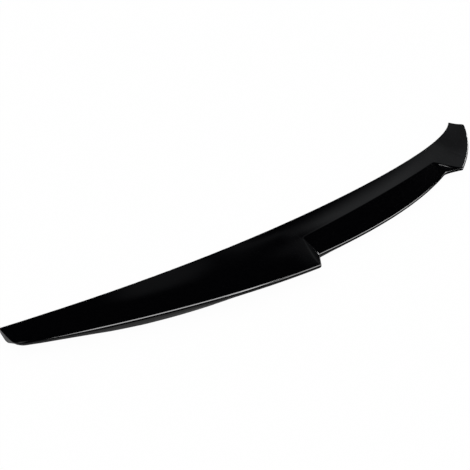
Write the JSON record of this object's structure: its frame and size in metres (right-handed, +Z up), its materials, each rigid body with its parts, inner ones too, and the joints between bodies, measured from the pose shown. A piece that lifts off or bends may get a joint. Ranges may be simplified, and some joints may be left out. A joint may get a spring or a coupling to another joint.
{
  "type": "car boot-lid lip spoiler",
  "caption": "Thin gloss-black moulded lip spoiler for a saloon boot lid, swept forward to its tips, with a sunk middle panel between raised wings.",
  "frame": {"origin": "centre of the bounding box seen from above, at the height the part stands on", "axes": "+X across the car along the span, +Y towards the front of the car and the thin edge that lies on the boot lid, +Z up"},
  "size_m": [1.243, 0.1576, 0.024],
  "materials": {
    "black_abs": "smooth gloss black, moulded ABS"
  },
  "bodies": {
    "root": {"lip_spoiler": "black_abs"}
  },
  "joints": []
}
